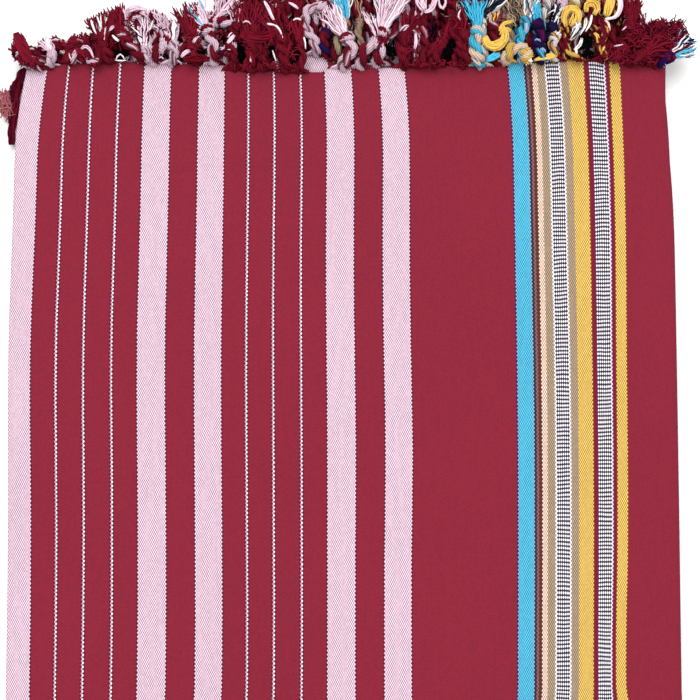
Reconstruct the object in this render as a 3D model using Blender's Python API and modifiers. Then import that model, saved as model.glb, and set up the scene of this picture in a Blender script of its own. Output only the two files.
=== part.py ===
"""A handwoven striped shawl with a knotted tassel fringe at both ends, folded and lying flat.

The cloth is folded in four across its width, back and forth, and then once in half along its
length, so that both fringed ends lie together at +Y. Metres, +Z up, +X across the folded cloth.
The origin is on the underside, between the side folds and midway along the folded cloth.
"""

import math
import random

import bmesh
import bpy

# The cloth: its woven length without the fringe, and how its layers lie on each other
CLOTH_LENGTH = 1.64
CLOTH_THICKNESS = 0.001
LAYER_PITCH = 0.0015
INNER_TURN_RADIUS = 0.00125

# The four layers across the width, from the top one down: where each one's left and right
# end lies. A layer ends in a selvage or in the fold that it shares with the next one.
LAYERS = (
    # left_x, right_x
    (-0.1368, 0.1362),
    (-0.1368, 0.1354),
    (-0.1352, 0.1354),
    (-0.1352, 0.1330),
)

# The woven end, in even steps from the left fold to the right selvage: how far it runs past
# its mean line, how much further the layers below show there, and how far the tassels reach
WOVEN_END = (
    # past_line, lower_layers_past, tassel_reach
    (-0.0024, 0.0, 0.013),
    (0.0000, 0.0, 0.015),
    (0.0008, 0.0, 0.023),
    (0.0005, 0.0, 0.026),
    (-0.0008, 0.0, 0.032),
    (-0.0030, 0.0, 0.040),
    (-0.0032, 0.0046, 0.044),
    (-0.0014, 0.0, 0.042),
    (-0.0013, 0.0, 0.045),
    (-0.0008, 0.0, 0.043),
    (0.0008, 0.0, 0.040),
    (0.0022, 0.0, 0.038),
    (0.0010, 0.0, 0.031),
    (-0.0018, 0.0, 0.022),
)
LAYER_END_STAGGER = 0.00035
END_SHAPE_REACH = 0.040
END_PULL_IN = 0.033
PULL_IN_REACH = 0.024

# Rows of the cloth's mesh, as distances from a woven end, and steps round each kind of fold
ROW_DISTANCES = (0.0, 0.014, END_SHAPE_REACH, 0.110, 0.300, 0.550)
SIDE_FOLD_STEPS = 4
HALF_TURN_STEPS = 5

# The stack is a little fuller at its side folds than in the middle, and its sides wander
SIDE_FULLNESS = 0.08
SIDE_DRIFT = 0.0007
SIDE_DRIFT_LENGTH = 0.46

# The fringe: narrow strips just off each layer's end, each with a row of twisted tassels
TASSELS_PER_ROW = 26
PIECE_GAP = 0.0003
STRIP_DEPTH = 0.0016
STRIP_INSET = 0.0009
TASSEL_SPAN = (-0.1360, 0.1346)
ROOT_SHIFT = 0.25
PILE_BASE = 0.0022
PILE_PITCH = 0.00225
FLOOR_TASSEL_HEIGHT = 0.0036
FLOOR_TASSEL_TOP = 0.3
REACH_VARIATION = 0.10
CORNER_SPREAD = 0.008
SIDEWAYS_WAVE = 0.0016
SIDEWAYS_WAVE_LENGTH = 0.084

# One tassel, from its gathered root to the loose ends of its tuft
NECK_DISTANCE = 0.003
RISE_SHARE = 0.30
CORD_WIDTH = 0.0046
CORD_HEIGHT = 0.0040
TASSEL_STATIONS = (
    # share_of_reach, width, height
    (0.56, 0.0042, 0.0037),
    (0.73, 0.0070, 0.0041),
    (1.00, 0.0070, 0.0034),
)
NECK_WIDTH = 0.0040
NECK_HEIGHT = 0.0011

# The leftmost tassel of the lowest layer curls back beside the folded edge
STRAY_STATIONS = (
    # x, y_past_end, heading_degrees, width, height
    (-0.1376, 0.0078, 50, 0.0046, 0.0034),
    (-0.1432, 0.0040, 125, 0.0044, 0.0034),
    (-0.1452, -0.0060, 172, 0.0068, 0.0036),
    (-0.1482, -0.0270, 165, 0.0090, 0.0030),
)

MAROON = (0.29, 0.022, 0.045, 1.0)
FRINGE_MAROON = (0.24, 0.020, 0.038, 1.0)
FRINGE_ROUGHNESS = 0.9
CLOTH_ROUGHNESS = 0.85

LAYER_COUNT = len(LAYERS)
OUTER_TURN_RADIUS = INNER_TURN_RADIUS + (LAYER_COUNT - 1) * LAYER_PITCH
STACK_MIDDLE_Z = OUTER_TURN_RADIUS + CLOTH_THICKNESS / 2
MEAN_TURN_LENGTH = math.pi * (INNER_TURN_RADIUS + OUTER_TURN_RADIUS) / 2
STRAIGHT_RUN = (CLOTH_LENGTH - MEAN_TURN_LENGTH) / 2
END_Y = (STRAIGHT_RUN + STACK_MIDDLE_Z) / 2
HALF_WIDTH = max(right for left, right in LAYERS)
END_STEPS = len(WOVEN_END) - 1


def clear_scene():
    for thing in list(bpy.data.objects):
        bpy.data.objects.remove(thing)


def principled(name, colour, roughness):
    material = bpy.data.materials.new(name)
    material.use_nodes = True
    shader = material.node_tree.nodes["Principled BSDF"]
    shader.inputs["Base Color"].default_value = colour
    shader.inputs["Roughness"].default_value = roughness
    shader.inputs["Metallic"].default_value = 0.0
    return material


def add_object(bm, name, material, collection):
    """The finished bmesh as one named object in the shawl's collection."""
    mesh = bpy.data.meshes.new(name)
    bm.to_mesh(mesh)
    bm.free()
    mesh.materials.append(material)
    thing = bpy.data.objects.new(name, mesh)
    collection.objects.link(thing)
    return thing


def mix(a, b, share):
    return a + (b - a) * share


def smooth(share):
    share = min(max(share, 0.0), 1.0)
    return share * share * (3 - 2 * share)


def along_end(share, column):
    """A column of WOVEN_END at a share of the width, 0 at the left fold."""
    place = min(max(share, 0.0), 1.0) * END_STEPS
    step = min(int(place), END_STEPS - 1)
    return mix(WOVEN_END[step][column], WOVEN_END[step + 1][column], place - step)


def end_past_line(share, row):
    """How far the woven end of a stacked row, 0 on the floor, runs past the mean line."""
    top_row = 2 * LAYER_COUNT - 1
    past = along_end(share, 0) + LAYER_END_STAGGER * (top_row - row)
    return past if row == top_row else past + along_end(share, 1)


def pulled_in(x, distance):
    """The knots draw the cloth in towards its woven end."""
    return x * (1 - END_PULL_IN * math.exp(-max(distance, 0.0) / PULL_IN_REACH))


def laid(x, y, z):
    """Shifts a point with the wandering sides, and lifts it with the stack's fullness above
    the lowest layer, whose underside stays flat."""
    side = smooth(2 * abs(x) / HALF_WIDTH - 1)
    above = max(z - CLOTH_THICKNESS, 0.0)
    drift = SIDE_DRIFT * math.sin(2 * math.pi * y / SIDE_DRIFT_LENGTH + 1)
    return (x + drift, y, z + above * SIDE_FULLNESS * side)


def section_columns():
    """The back-and-forth section, from the top layer's selvage to the bottom layer's:
    (layer, share from the left, x, distance from the middle of the stack)."""
    columns = []
    for layer, (left, right) in enumerate(LAYERS):
        radius = OUTER_TURN_RADIUS - layer * LAYER_PITCH
        leftwards = layer % 2 == 0
        for step in range(END_STEPS + 1):
            share = 1 - step / END_STEPS if leftwards else step / END_STEPS
            columns.append((layer, share, mix(left, right, share), radius))
        if layer == LAYER_COUNT - 1:
            break
        fold_x = left if leftwards else right
        outwards = -1 if leftwards else 1
        for step in range(1, SIDE_FOLD_STEPS):
            turn = math.pi * step / SIDE_FOLD_STEPS
            bulge = outwards * math.sin(turn) * LAYER_PITCH / 2
            drop = (1 - math.cos(turn)) * LAYER_PITCH / 2
            share = 0.0 if leftwards else 1.0
            columns.append((layer, share, fold_x + bulge, radius - drop))
    return columns


def length_rows():
    """The folded length, from the upper end round the half turn to the lower end:
    (distance from the nearer end, angle of the turn, 90 degrees upwards and 270 down)."""
    quarter = math.pi / 2
    upper = [(distance, quarter) for distance in ROW_DISTANCES]
    turn = [
        (STRAIGHT_RUN, quarter + math.pi * step / HALF_TURN_STEPS)
        for step in range(HALF_TURN_STEPS + 1)
    ]
    lower = [(distance, 3 * quarter) for distance in reversed(ROW_DISTANCES)]
    return upper + turn + lower


def row_of(layer, on_lower_side):
    """Height order of a layer in the whole stack, 0 for the one on the floor."""
    return layer if on_lower_side else 2 * LAYER_COUNT - 1 - layer


def cloth_point(column, row):
    layer, share, x, radius = column
    distance, angle = row
    height = STACK_MIDDLE_Z + radius * math.sin(angle)
    y = END_Y - distance + radius * math.cos(angle)
    past = end_past_line(share, row_of(layer, math.sin(angle) < 0))
    y += past * (1 - smooth(distance / END_SHAPE_REACH))
    return laid(pulled_in(x, distance), y, height)


def build_cloth(collection):
    """One sheet, folded back and forth across and then in half along its length."""
    columns = section_columns()
    rows = length_rows()
    bm = bmesh.new()
    bmesh.ops.create_grid(
        bm, x_segments=len(columns) - 1, y_segments=len(rows) - 1, size=0.5
    )
    for vert in bm.verts:
        column = round((vert.co.x + 0.5) * (len(columns) - 1))
        row = round((vert.co.y + 0.5) * (len(rows) - 1))
        vert.co = cloth_point(columns[column], rows[row])
    material = principled("shawl_cloth_maroon", MAROON, CLOTH_ROUGHNESS)
    cloth = add_object(bm, "shawl_cloth", material, collection)
    thicken = cloth.modifiers.new("thickness", "SOLIDIFY")
    thicken.thickness = CLOTH_THICKNESS
    thicken.offset = 0
    thicken.use_even_offset = True
    thicken.use_quality_normals = True
    return cloth


def strip_cells(bm, layer, row, base_z):
    """The strip off one layer's end, and its cells' outer faces from left to right."""
    left, right = LAYERS[layer]
    inset = STRIP_INSET / (right - left)
    bmesh.ops.create_grid(bm, x_segments=TASSELS_PER_ROW, y_segments=1, size=0.5)
    for vert in bm.verts:
        share = min(max(vert.co.x + 0.5, inset), 1 - inset)
        outer = vert.co.y > 0
        y = END_Y + end_past_line(share, row) + PIECE_GAP + (STRIP_DEPTH if outer else 0)
        vert.co = laid(pulled_in(mix(left, right, share), 0), y, base_z)
    made = bmesh.ops.extrude_face_region(bm, geom=bm.faces[:])
    raised = [item for item in made["geom"] if isinstance(item, bmesh.types.BMVert)]
    bmesh.ops.translate(bm, verts=raised, vec=(0, 0, CLOTH_THICKNESS))
    bmesh.ops.recalc_face_normals(bm, faces=bm.faces[:])
    outer_faces = [face for face in bm.faces if face.normal.y > 0.7]
    return sorted(outer_faces, key=lambda face: face.calc_center_median().x)


def corner_roles(face):
    """For each corner of a cell's face: 0 low left, 1 low right, 2 high right, 3 high left."""
    centre = face.calc_center_median()
    roles = []
    for vert in face.verts:
        high = vert.co.z > centre.z
        right = vert.co.x > centre.x
        roles.append((2 if right else 3) if high else (1 if right else 0))
    return roles


def box_section(width, height):
    """Corners from low left round to high left, about the middle of the section."""
    side, rise = width / 2, height / 2
    return ((-side, -rise), (side, -rise), (side, rise), (-side, rise))


def turned_section(width, height):
    """A section that stands on its edge, so that crossed rows nest in each other."""
    side, rise = width / 2, height / 2
    return ((-side, 0), (0, -rise), (side, 0), (0, rise))


def floor_section(width, height):
    """A section with a flat underside that lies on the floor."""
    side, rise = width / 2, height / 2
    top = side * FLOOR_TASSEL_TOP
    return ((-side, -rise), (side, -rise), (top, rise), (-top, rise))


def grow(bm, face, roles, centre, heading, section):
    """Draws a face out to the next section of a tassel and returns the new face."""
    face = bmesh.ops.extrude_discrete_faces(bm, faces=[face])["faces"][0]
    across = (math.cos(heading), math.sin(heading))
    for vert, role in zip(face.verts, roles):
        side, rise = section[role]
        vert.co = (
            centre[0] + across[0] * side,
            centre[1] + across[1] * side,
            centre[2] + rise,
        )
    return face


def lean(x, distance):
    """Where the tassels drift sideways: outwards at the corners, in slow waves between."""
    growth = smooth(distance / 0.020)
    outwards = CORNER_SPREAD * (x / HALF_WIDTH) ** 3
    wave = SIDEWAYS_WAVE * math.sin(x / SIDEWAYS_WAVE_LENGTH * 2 * math.pi + 0.8)
    return x + growth * (outwards + wave)


def draw_tassel(bm, face, neck, reach, variation, row):
    """A tassel that rises to its place in the pile and then runs level, to its knot and tuft."""
    x, y = neck[:2]
    roles = corner_roles(face)
    face = grow(bm, face, roles, neck, 0.0, box_section(NECK_WIDTH, NECK_HEIGHT))
    stations = [(reach * RISE_SHARE, CORD_WIDTH, CORD_HEIGHT)]
    for share, width, height in TASSEL_STATIONS:
        stations.append((reach * share * (1 + variation), width, height))
    for distance, width, height in stations:
        if row == 0:
            height = min(height, FLOOR_TASSEL_HEIGHT)
            section = floor_section(width, height)
            level = height / 2
        else:
            section = turned_section(width, height)
            level = PILE_BASE + PILE_PITCH * row
        centre = (lean(x, distance), y + distance, level)
        face = grow(bm, face, roles, centre, 0.0, section)


def draw_stray_tassel(bm, face, neck, end_y):
    roles = corner_roles(face)
    face = grow(bm, face, roles, neck, 0.0, box_section(NECK_WIDTH, NECK_HEIGHT))
    for x, past, heading, width, height in STRAY_STATIONS:
        centre = (x, end_y + past, height / 2)
        face = grow(
            bm, face, roles, centre, math.radians(heading), floor_section(width, height)
        )


def build_fringe(name, layer, on_lower_side, chance, collection):
    """One backing strip with its row of tassels, all of one piece."""
    row = row_of(layer, on_lower_side)
    radius = OUTER_TURN_RADIUS - layer * LAYER_PITCH
    layer_z = STACK_MIDDLE_Z + (-radius if on_lower_side else radius)
    bm = bmesh.new()
    faces = strip_cells(bm, layer, row, layer_z - CLOTH_THICKNESS / 2)
    shift = ROOT_SHIFT if row % 2 else -ROOT_SHIFT
    for index, face in enumerate(faces):
        share = (index + 0.5 + shift) / TASSELS_PER_ROW
        end_y = END_Y + end_past_line(share, row) + PIECE_GAP + STRIP_DEPTH
        root = laid(pulled_in(mix(*TASSEL_SPAN, share), 0), end_y, layer_z)
        neck_z = NECK_HEIGHT / 2 if row == 0 else root[2]
        neck = (root[0], end_y + NECK_DISTANCE, neck_z)
        if row == 0 and index == 0:
            draw_stray_tassel(bm, face, neck, end_y)
            continue
        reach = along_end(share, 2) - NECK_DISTANCE
        variation = chance.uniform(-1, 1) * REACH_VARIATION
        draw_tassel(bm, face, neck, reach, variation, row)
    bmesh.ops.recalc_face_normals(bm, faces=bm.faces[:])
    material = principled(name + "_yarn", FRINGE_MAROON, FRINGE_ROUGHNESS)
    return add_object(bm, name, material, collection)


def build_shawl():
    clear_scene()
    collection = bpy.data.collections.new("shawl")
    bpy.context.scene.collection.children.link(collection)
    build_cloth(collection)
    chance = random.Random(11)
    for layer in range(LAYER_COUNT):
        for end_name, on_lower_side in (("upper_end", False), ("lower_end", True)):
            name = f"fringe_{end_name}_{layer + 1}"
            build_fringe(name, layer, on_lower_side, chance, collection)


build_shawl()
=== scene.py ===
"""Looks of a folded striped shawl with a tassel fringe, seen from straight above.

Metres, +Z up, +X to the right in the picture and +Y towards the fringe, at its top.
"""

import math
import random

import bmesh
import bpy
import numpy as np
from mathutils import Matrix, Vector


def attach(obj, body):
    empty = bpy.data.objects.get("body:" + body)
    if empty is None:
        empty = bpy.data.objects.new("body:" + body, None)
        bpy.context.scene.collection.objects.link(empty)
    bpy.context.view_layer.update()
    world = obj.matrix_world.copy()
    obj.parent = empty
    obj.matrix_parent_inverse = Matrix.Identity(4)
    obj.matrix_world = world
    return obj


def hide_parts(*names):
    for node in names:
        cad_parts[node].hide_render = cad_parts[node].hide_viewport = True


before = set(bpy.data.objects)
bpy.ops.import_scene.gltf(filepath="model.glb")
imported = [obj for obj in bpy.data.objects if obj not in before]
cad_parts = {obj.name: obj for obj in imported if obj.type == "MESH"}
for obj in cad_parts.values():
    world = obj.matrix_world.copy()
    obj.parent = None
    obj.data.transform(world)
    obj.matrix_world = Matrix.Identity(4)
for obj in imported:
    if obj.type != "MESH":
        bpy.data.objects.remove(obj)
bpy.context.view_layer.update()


# CAMERA
# A long lens almost straight above the cloth, tilted a little so that the fringed end is
# farther away. The cloth runs out of the picture below, and most of the fringe above.

WOVEN_END_Y = 0.410376
CAMERA_TARGET = (0.0015, WOVEN_END_Y - 0.1199, 0.0129)
CAMERA_DISTANCE = 0.65
CAMERA_TILT = math.radians(4.5)

camera_data = bpy.data.cameras.new("camera")
camera_data.lens = 81.15
camera_data.sensor_width = 36.0
camera_data.clip_start = 0.05
camera_data.clip_end = 20.0
camera = bpy.data.objects.new("camera", camera_data)
back = Vector((0.0, -math.sin(CAMERA_TILT), math.cos(CAMERA_TILT)))
camera.location = Vector(CAMERA_TARGET) + back * CAMERA_DISTANCE
camera.rotation_euler = (CAMERA_TILT, 0.0, 0.0)
bpy.context.scene.collection.objects.link(camera)
bpy.context.scene.camera = camera
bpy.context.scene.view_settings.view_transform = "Standard"


# FLOOR AND LIGHT
# A plain pale studio floor, a large soft light high beyond the fringe, a weaker one on the
# right and a white surround, which leave soft shadows at the edges and round the tassels.

FLOOR_SIZE = 16.0
FLOOR_COLOUR = (0.96, 0.96, 0.955, 1.0)


def lit_material(name, colour, roughness):
    material = bpy.data.materials.new(name)
    material.use_nodes = True
    shader = material.node_tree.nodes["Principled BSDF"]
    shader.inputs["Base Color"].default_value = colour
    shader.inputs["Roughness"].default_value = roughness
    return material


floor_bm = bmesh.new()
bmesh.ops.create_grid(floor_bm, x_segments=1, y_segments=1, size=FLOOR_SIZE / 2)
floor_mesh = bpy.data.meshes.new("floor")
floor_bm.to_mesh(floor_mesh)
floor_bm.free()
floor_mesh.materials.append(lit_material("floor_paint", FLOOR_COLOUR, 0.7))
floor = bpy.data.objects.new("floor", floor_mesh)
floor.location.z = -0.0004
bpy.context.scene.collection.objects.link(floor)


def soft_light(name, location, target, size, power):
    data = bpy.data.lights.new(name, "AREA")
    data.shape = "DISK"
    data.size = size
    data.energy = power
    light = bpy.data.objects.new(name, data)
    light.location = location
    light.rotation_euler = (Vector(location) - Vector(target)).to_track_quat("Z", "Y").to_euler()
    bpy.context.scene.collection.objects.link(light)


soft_light("key_light", (-0.3, 1.3, 3.2), (0.0, 0.3, 0.0), 2.4, 82.0)
soft_light("fill_light", (1.8, -0.6, 2.6), (0.0, 0.3, 0.0), 2.4, 22.0)
world = bpy.data.worlds.new("surround")
world.use_nodes = True
world.node_tree.nodes["Background"].inputs["Color"].default_value = (1.0, 1.0, 1.0, 1.0)
world.node_tree.nodes["Background"].inputs["Strength"].default_value = 0.74
bpy.context.scene.world = world


# CLOTH
# One handwoven, warp-faced cotton cloth, folded back and forth in four across its width and
# then in half along its length. Its stripes are the coloured warp ends, counted here from a
# selvage inwards. The dark dots between the floats are partly the dark weft and partly painted
# shade in the hollows between the floats.

END_PITCH = 0.00044
PICK_PITCH = 0.00083
SHEET_THICKNESS = 0.0007


def linear(red, green, blue):
    """A display colour, 0 to 255, as a linear colour."""
    return tuple((value / 255) ** 2.2 for value in (red, green, blue))


YARN = {
    "maroon": linear(137, 29, 50),
    "wine": linear(88, 14, 44),
    "pink": linear(238, 205, 222),
    "white": linear(250, 244, 246),
    "blue": linear(80, 194, 230),
    "sky": linear(138, 172, 208),
    "yellow": linear(236, 194, 96),
    "taupe": linear(176, 152, 124),
    "cream": linear(246, 214, 190),
    "brown": linear(92, 44, 40),
    "navy": linear(50, 24, 92),
    "night": linear(38, 42, 62),
    "plum": linear(105, 24, 88),
    "crimson": linear(118, 18, 38),
    "rust": linear(126, 46, 26),
    "clay": linear(132, 92, 86),
    "rose": linear(190, 104, 116),
    "blush": linear(222, 140, 166),
    # Near black, the colour of no yarn in the shawl: painted shade, laid as mats of yarn in the deep
    # gaps among the tassels
    "ink": linear(14, 8, 12),
}
# Colour of the dots between the floats: the dark weft, with painted shade in the hollows there.
WEFT_AND_SHADE = linear(52, 26, 44)

# Each stripe: warp ends, yarn, and whether every second end is the dark one
BORDER = (
    (48, "maroon", False),
    (1, "rust", False),
    (10, "yellow", False),
    (1, "rust", False),
    (2, "crimson", False),
    (1, "plum", False),
    (1, "pink", False),
    (12, "white", True),
    (1, "white", False),
    (1, "plum", False),
    (3, "crimson", False),
    (1, "rust", False),
    (14, "yellow", False),
    (7, "taupe", False),
    (1, "white", False),
    (13, "white", True),
    (1, "white", False),
    (7, "taupe", False),
    (5, "cream", False),
    (3, "brown", False),
    (2, "clay", False),
    (2, "night", False),
    (1, "sky", False),
    (13, "blue", False),
    (1, "sky", False),
    (1, "navy", False),
    (95, "maroon", False),
    (1, "wine", False),
)
REPEAT = (
    (25, "pink", False),
    (1, "wine", False),
    (25, "maroon", False),
    (1, "wine", False),
    (26, "pink", False),
    (1, "wine", False),
    (21, "maroon", False),
    (1, "wine", False),
    (1, "white", False),
    (1, "blush", False),
    (1, "wine", False),
    (22, "maroon", False),
    (1, "wine", False),
    (1, "white", False),
    (1, "blush", False),
    (1, "wine", False),
    (21, "maroon", False),
    (1, "wine", False),
    (1, "white", False),
    (1, "blush", False),
    (1, "wine", False),
    (20, "maroon", False),
    (1, "wine", False),
)
BORDER_ENDS = sum(stripe[0] for stripe in BORDER)
REPEAT_ENDS = sum(stripe[0] for stripe in REPEAT)
MIDDLE_END = BORDER_ENDS + 5 * REPEAT_ENDS + 120.5
# Past the top layer's fold the stripes start again here, further on in the repeat
SKIP_AFTER = 2 * REPEAT_ENDS + 25
SKIPPED_ENDS = 56


class Tree:
    """A short way to place and link the nodes of one node tree."""

    def __init__(self, tree):
        self.tree = tree

    def put(self, socket, value):
        if isinstance(value, bpy.types.NodeSocket):
            self.tree.links.new(value, socket)
        else:
            socket.default_value = value

    def math(self, operation, *values, clamp=False):
        node = self.tree.nodes.new("ShaderNodeMath")
        node.operation = operation
        node.use_clamp = clamp
        for socket, value in zip(node.inputs, values):
            self.put(socket, value)
        return node.outputs[0]

    def ramp(self, value, low, high):
        """0 at low, 1 at high, soft between."""
        node = self.tree.nodes.new("ShaderNodeMapRange")
        node.interpolation_type = "SMOOTHSTEP"
        self.put(node.inputs["Value"], value)
        node.inputs["From Min"].default_value = low
        node.inputs["From Max"].default_value = high
        return node.outputs["Result"]

    def mix(self, share, a, b, blend="MIX"):
        node = self.tree.nodes.new("ShaderNodeMix")
        node.data_type = "RGBA"
        node.blend_type = blend
        self.put(node.inputs[0], share)
        self.put(node.inputs[6], a)
        self.put(node.inputs[7], b)
        return node.outputs[2]

    def choose(self, share, a, b):
        node = self.tree.nodes.new("ShaderNodeMix")
        node.data_type = "FLOAT"
        self.put(node.inputs[0], share)
        self.put(node.inputs[2], a)
        self.put(node.inputs[3], b)
        return node.outputs[0]

    def point(self, x, y, z=0.0):
        node = self.tree.nodes.new("ShaderNodeCombineXYZ")
        for socket, value in zip(node.inputs, (x, y, z)):
            self.put(socket, value)
        return node.outputs[0]

    def noise(self, where, scale, detail=2.0):
        node = self.tree.nodes.new("ShaderNodeTexNoise")
        self.put(node.inputs["Vector"], where)
        node.inputs["Scale"].default_value = scale
        node.inputs["Detail"].default_value = detail
        return node.outputs["Fac"]


def new_group(name, inputs, outputs):
    """A node group with its input and output nodes: (Tree, inputs by name, output node)."""
    group = bpy.data.node_groups.new(name, "ShaderNodeTree")
    for socket_name, kind in inputs:
        group.interface.new_socket(socket_name, in_out="INPUT", socket_type=kind)
    for socket_name, kind in outputs:
        group.interface.new_socket(socket_name, in_out="OUTPUT", socket_type=kind)
    entry = group.nodes.new("NodeGroupInput")
    leave = group.nodes.new("NodeGroupOutput")
    return group, Tree(group), entry.outputs, leave.inputs


# The plain weave: which warp end floats on top at a place, and how far off its middle it is
weave, t, given, made = new_group(
    "plain_weave",
    (("End", "NodeSocketFloat"), ("Pick", "NodeSocketFloat")),
    (
        ("Top End", "NodeSocketFloat"),
        ("Top Pick", "NodeSocketFloat"),
        ("Across", "NodeSocketFloat"),
        ("Off Middle", "NodeSocketFloat"),
    ),
)
first_pick = t.math("FLOOR", given["Pick"])
floats = []
for step in (0.0, 1.0):
    pick = t.math("ADD", first_pick, step)
    along = t.math("SUBTRACT", given["Pick"], pick)
    half_steps = t.math("MULTIPLY", t.math("SUBTRACT", given["End"], pick), 0.5)
    end = t.math("MULTIPLY_ADD", t.math("ROUND", half_steps), 2.0, pick)
    across = t.math("SUBTRACT", given["End"], end)
    stretched = t.math("MULTIPLY", along, 1.12)
    off = t.math("ADD", t.math("POWER", across, 2.0), t.math("POWER", stretched, 2.0))
    floats.append((end, pick, across, off))
second_wins = t.math("LESS_THAN", floats[1][3], floats[0][3])
for index, name in enumerate(("Top End", "Top Pick", "Across", "Off Middle")):
    t.put(made[name], t.choose(second_wins, floats[0][index], floats[1][index]))


def add_stops(ramp, stripes):
    """Fills a colour ramp with the stripes of a threading list. Alpha 0 marks the stripes
    whose every second end is dark."""
    ramp.interpolation = "CONSTANT"
    total = sum(stripe[0] for stripe in stripes)
    start = 0
    for place, (ends, yarn, alternate) in enumerate(stripes):
        stop = ramp.elements[0] if place == 0 else ramp.elements.new(start / total)
        stop.color = (*YARN[yarn], 0.0 if alternate else 1.0)
        start += ends
    ramp.elements.remove(ramp.elements[len(stripes)])


# The threading: the yarn of each warp end, mirrored about the middle of the cloth
threading, t, given, made = new_group(
    "threading", (("End", "NodeSocketFloat"),), (("Color", "NodeSocketColor"),)
)
from_middle = t.math("ABSOLUTE", t.math("SUBTRACT", given["End"], MIDDLE_END))
from_selvage = t.math("SUBTRACT", MIDDLE_END, from_middle)
border_place = t.math("DIVIDE", from_selvage, float(BORDER_ENDS))
in_body = t.math("SUBTRACT", from_selvage, float(BORDER_ENDS))
body_share = t.math("GREATER_THAN", in_body, 0.0)
skips = t.math("GREATER_THAN", in_body, float(SKIP_AFTER))
in_body = t.math("ADD", in_body, t.math("MULTIPLY", skips, float(SKIPPED_ENDS)))
body_place = t.math("FRACT", t.math("DIVIDE", in_body, float(REPEAT_ENDS)))
# A baked ramp has 256 entries, so half an entry is added to keep the one-end stripes
RAMP_HALF_ENTRY = 0.5 / 255
looked_up = []
for stripes, place in ((BORDER, border_place), (REPEAT, body_place)):
    node = t.tree.nodes.new("ShaderNodeValToRGB")
    add_stops(node.color_ramp, stripes)
    t.put(node.inputs[0], t.math("ADD", place, RAMP_HALF_ENTRY))
    looked_up.append(node.outputs)
yarn = t.mix(body_share, looked_up[0]["Color"], looked_up[1]["Color"])
plain = t.choose(body_share, looked_up[0]["Alpha"], looked_up[1]["Alpha"])
odd_end = t.math("ROUND", t.math("FLOORED_MODULO", t.math("FLOOR", given["End"]), 2.0))
dark = t.math("MULTIPLY", t.math("SUBTRACT", 1.0, plain), odd_end)
t.put(made["Color"], t.mix(dark, yarn, (*YARN["night"], 1.0)))

cotton = bpy.data.materials.new("striped_cotton")
cotton.use_nodes = True
t = Tree(cotton.node_tree)
shader = cotton.node_tree.nodes["Principled BSDF"]
uv = cotton.node_tree.nodes.new("ShaderNodeUVMap")
uv.uv_map = "UVMap"
parts = cotton.node_tree.nodes.new("ShaderNodeSeparateXYZ")
t.put(parts.inputs[0], uv.outputs[0])
wander_x = t.noise(t.point(t.math("MULTIPLY", parts.outputs[0], 4.0), parts.outputs[1]), 60.0)
end_place = t.math("DIVIDE", parts.outputs[0], END_PITCH)
end_place = t.math("ADD", end_place, t.math("MULTIPLY", t.math("SUBTRACT", wander_x, 0.5), 0.5))
pick_place = t.math("DIVIDE", parts.outputs[1], PICK_PITCH)
for along, scale, reach in ((3.0, 30.0, 1.6), (0.35, 75.0, 2.4)):
    beat = t.noise(t.point(parts.outputs[0], t.math("MULTIPLY", parts.outputs[1], along)), scale)
    pick_place = t.math("ADD", pick_place, t.math("MULTIPLY", t.math("SUBTRACT", beat, 0.5), reach))
node = cotton.node_tree.nodes.new("ShaderNodeGroup")
node.node_tree = weave
t.put(node.inputs["End"], end_place)
t.put(node.inputs["Pick"], pick_place)
top_end, top_pick, across, off_middle = node.outputs
node = cotton.node_tree.nodes.new("ShaderNodeGroup")
node.node_tree = threading
t.put(node.inputs["End"], t.math("ADD", top_end, 0.5))
yarn_colour = node.outputs["Color"]
white = cotton.node_tree.nodes.new("ShaderNodeTexWhiteNoise")
white.noise_dimensions = "2D"
t.put(white.inputs["Vector"], t.point(top_end, top_pick))
streak = t.noise(t.point(top_end, t.math("MULTIPLY", parts.outputs[1], 25.0)), 1.7, 1.0)
patch = t.noise(t.point(parts.outputs[0], parts.outputs[1]), 14.0, 3.0)
light = t.math("MULTIPLY_ADD", white.outputs["Value"], 0.14, 0.80)
light = t.math("ADD", light, t.math("MULTIPLY", streak, 0.16))
light = t.math("ADD", light, t.math("MULTIPLY", t.math("SUBTRACT", patch, 0.5), 0.14))
yarn_colour = t.mix(1.0, yarn_colour, t.point(light, light, light), "MULTIPLY")
# Dots between the floats take this colour, more strongly on light yarns: partly the real dark weft,
# partly painted shade in the hollows between floats.
shown = t.math("MULTIPLY_ADD", t.ramp(yarn_colour, 0.04, 0.30), 0.38, 0.46)
gap = t.math("MULTIPLY", t.ramp(off_middle, 0.20, 0.70), shown)
yarn_colour = t.mix(gap, yarn_colour, (*WEFT_AND_SHADE, 1.0))
t.put(shader.inputs["Base Color"], yarn_colour)
shader.inputs["Roughness"].default_value = 0.85
shader.inputs["Specular IOR Level"].default_value = 0.25
shader.inputs["Sheen Weight"].default_value = 0.08
bump = cotton.node_tree.nodes.new("ShaderNodeBump")
bump.inputs["Strength"].default_value = 0.5
bump.inputs["Distance"].default_value = 0.00016
t.put(bump.inputs["Height"], t.math("SUBTRACT", 1.0, off_middle))
t.put(shader.inputs["Normal"], bump.outputs[0])

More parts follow.
